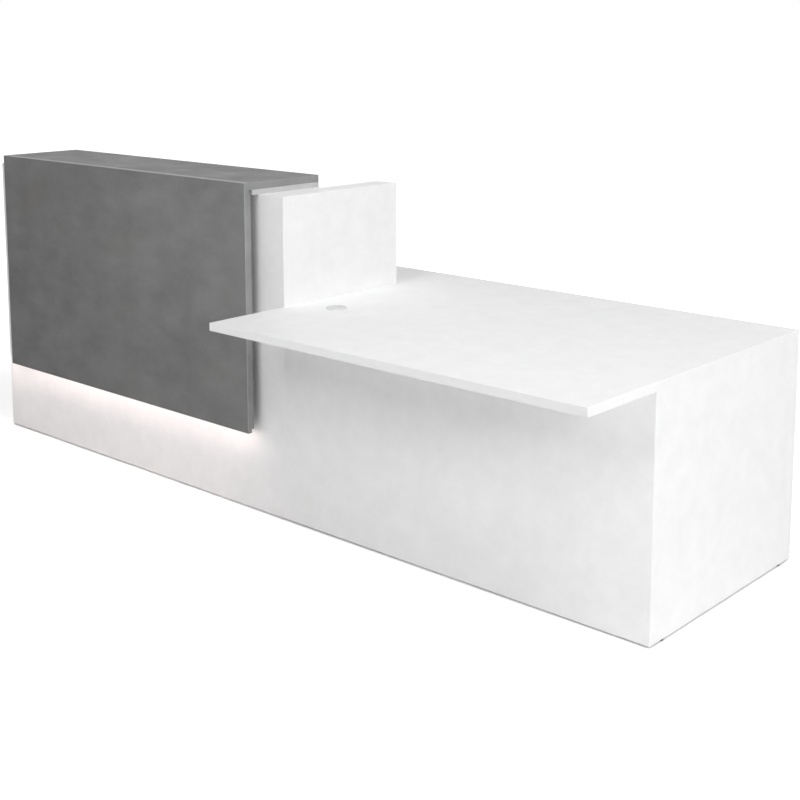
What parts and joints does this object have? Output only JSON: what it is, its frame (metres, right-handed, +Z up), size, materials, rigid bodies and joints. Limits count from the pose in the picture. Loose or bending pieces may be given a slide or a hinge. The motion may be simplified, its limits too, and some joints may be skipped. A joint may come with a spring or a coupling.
{
  "type": "reception desk",
  "caption": "Long white reception desk: low worktop with a visitor overhang and waterfall end, raised counter behind a lit concrete-look fascia, cable outlet and levelling feet.",
  "frame": {"origin": "middle of the desk's box on the floor", "axes": "+X along the desk to the visitor's right, +Y to the staff side, +Z up"},
  "size_m": [3.1, 1.15, 1.15],
  "materials": {
    "white_board": "white melamine-faced chipboard with white edge bands, satin",
    "concrete_laminate": "dark grey concrete-look laminate on chipboard, matt and mottled",
    "dark_backing": "dark grey melamine board, matt",
    "raw_timber": "planed softwood batten, raw",
    "extruded_aluminium": "clear anodised extrusion",
    "light_circuit": "flexible light strip on a white circuit",
    "opal_diffuser": "opal diffuser strip, lit warm white",
    "grey_plastic": "light grey moulded plastic",
    "white_plastic": "off-white moulded plastic",
    "black_plastic": "black moulded plastic",
    "zinc_steel": "zinc-plated steel"
  },
  "bodies": {
    "desk": {"bracket_high_front_1": "zinc_steel", "bracket_high_front_2": "zinc_steel", "bracket_left_end": "zinc_steel", "bracket_low_front_1": "zinc_steel", "bracket_low_front_2": "zinc_steel", "bracket_middle_left": "zinc_steel", "bracket_middle_right": "zinc_steel", "bracket_right_end": "zinc_steel", "counter_batten_left": "white_board", "counter_batten_right": "white_board", "counter_gable_left": "white_board", "counter_gable_right": "white_board", "counter_rear_rail": "white_board", "counter_sub_top": "white_board", "counter_top": "concrete_laminate", "desktop_low": "white_board", "end_panel_left": "white_board", "end_panel_right": "white_board", "fascia_backing": "dark_backing", "fascia_cleat_lower": "raw_timber", "fascia_cleat_upper": "raw_timber", "fascia_panel": "concrete_laminate", "foot_insert_left_back": "zinc_steel", "foot_insert_left_front": "zinc_steel", "foot_insert_middle_back": "zinc_steel", "foot_insert_middle_front": "zinc_steel", "foot_insert_right_back": "zinc_steel", "foot_insert_right_front": "zinc_steel", "front_panel_high": "white_board", "front_panel_low": "white_board", "grommet_liner": "grey_plastic", "light_channel": "extruded_aluminium", "light_diffuser": "opal_diffuser", "light_driver": "white_plastic", "light_end_cap_left": "grey_plastic", "light_end_cap_right": "grey_plastic", "light_lead": "white_plastic", "light_strip": "light_circuit", "mid_support_panel": "white_board", "tower_left_back": "white_board", "tower_left_base_batten": "raw_timber", "tower_left_cap": "white_board", "tower_left_inner_skin": "white_board", "tower_right_back": "white_board", "tower_right_base_batten": "raw_timber", "tower_right_cap": "white_board", "tower_right_inner_skin": "white_board", "tower_right_outer_skin": "white_board", "wall_cleat_lower": "raw_timber", "wall_cleat_upper": "raw_timber", "worktop_high": "white_board"},
    "grommet_cap": {"grommet_cap": "grey_plastic"},
    "grommet_shutter": {"grommet_shutter": "grey_plastic"},
    "levelling_foot_left_back": {"levelling_foot_left_back": "black_plastic"},
    "levelling_foot_left_front": {"levelling_foot_left_front": "black_plastic"},
    "levelling_foot_middle_back": {"levelling_foot_middle_back": "black_plastic"},
    "levelling_foot_middle_front": {"levelling_foot_middle_front": "black_plastic"},
    "levelling_foot_right_back": {"levelling_foot_right_back": "black_plastic"},
    "levelling_foot_right_front": {"levelling_foot_right_front": "black_plastic"}
  },
  "joints": [
    {"name": "grommet_cap_lift", "type": "slide", "parent": "desk", "child": "grommet_cap", "axis": [0, 0, 1], "range_m": [0, 0.03]},
    {"name": "grommet_shutter_turn", "type": "hinge", "parent": "grommet_cap", "child": "grommet_shutter", "pos_m": [0.27, -0.15, 0.74], "axis": [0, 0, 1], "range_deg": [0, 100]},
    {"name": "left_back_foot_screw", "type": "slide", "parent": "desk", "child": "levelling_foot_left_back", "axis": [0, 0, -1], "range_m": [0, 0.015]},
    {"name": "left_front_foot_screw", "type": "slide", "parent": "desk", "child": "levelling_foot_left_front", "axis": [0, 0, -1], "range_m": [0, 0.015]},
    {"name": "middle_back_foot_screw", "type": "slide", "parent": "desk", "child": "levelling_foot_middle_back", "axis": [0, 0, -1], "range_m": [0, 0.015]},
    {"name": "middle_front_foot_screw", "type": "slide", "parent": "desk", "child": "levelling_foot_middle_front", "axis": [0, 0, -1], "range_m": [0, 0.015]},
    {"name": "right_back_foot_screw", "type": "slide", "parent": "desk", "child": "levelling_foot_right_back", "axis": [0, 0, -1], "range_m": [0, 0.015]},
    {"name": "right_front_foot_screw", "type": "slide", "parent": "desk", "child": "levelling_foot_right_front", "axis": [0, 0, -1], "range_m": [0, 0.015]}
  ]
}
